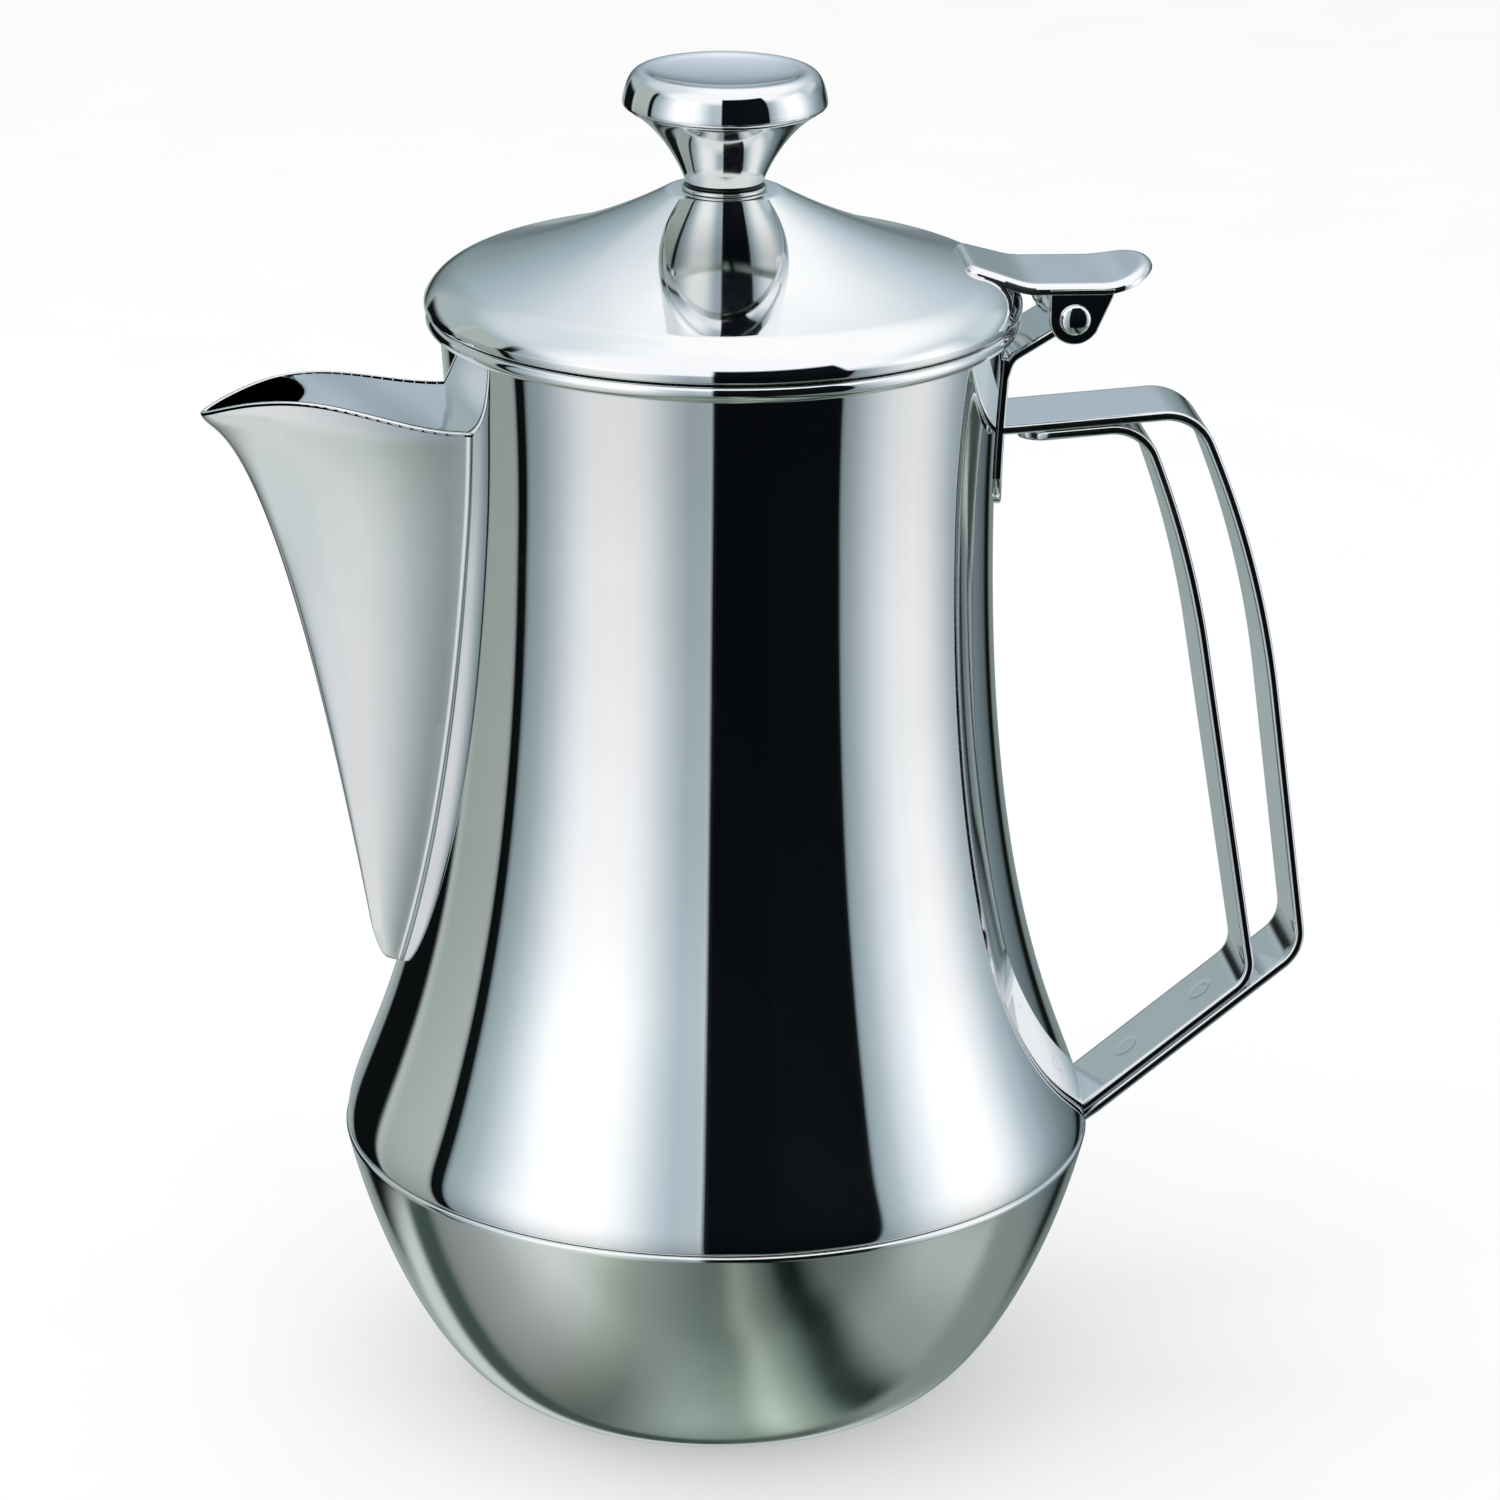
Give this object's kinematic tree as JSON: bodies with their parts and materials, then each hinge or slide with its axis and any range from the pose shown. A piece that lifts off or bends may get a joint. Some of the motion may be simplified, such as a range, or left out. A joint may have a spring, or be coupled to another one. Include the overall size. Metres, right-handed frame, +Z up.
{
  "type": "coffee pot",
  "caption": "Polished steel coffee pot with a waisted body, folded V spout, double strap handle and a hinged lid with a knob and thumb plate.",
  "frame": {"origin": "on the pot's axis at the plane it stands on", "axes": "+Z up along the pot's axis, +X towards the handle and hinge, -X towards the spout, +Y across; the hinge pin is parallel to +Y"},
  "size_m": [0.1543, 0.1048, 0.1885],
  "materials": {
    "mirror_steel": "mirror polished stainless steel",
    "bowl_steel": "polished stainless steel, faintly streaked",
    "strap_steel": "polished strip with a fine grain along its length",
    "hinge_steel": "polished sheet and rivet",
    "inner_steel": "satin stainless steel inside the lid"
  },
  "bodies": {
    "pot": {"bowl_shell": "bowl_steel", "neck_shell": "mirror_steel", "spout_trough": "mirror_steel", "spout_top": "mirror_steel", "hinge_bracket": "hinge_steel", "handle_outer_strap": "strap_steel", "handle_inner_strap": "strap_steel"},
    "lid": {"hinge_pin": "hinge_steel", "thumb_plate": "hinge_steel", "lid_shell": "mirror_steel", "lid_collar": "inner_steel", "knob_stem": "mirror_steel", "knob_top": "mirror_steel", "knob_screw": "inner_steel", "knob_washer": "inner_steel"}
  },
  "joints": [
    {"name": "lid_hinge", "type": "hinge", "parent": "pot", "child": "lid", "pos_m": [0.0469, 0, 0.1554], "axis": [0, 1, 0], "range_deg": [0, 100]}
  ]
}
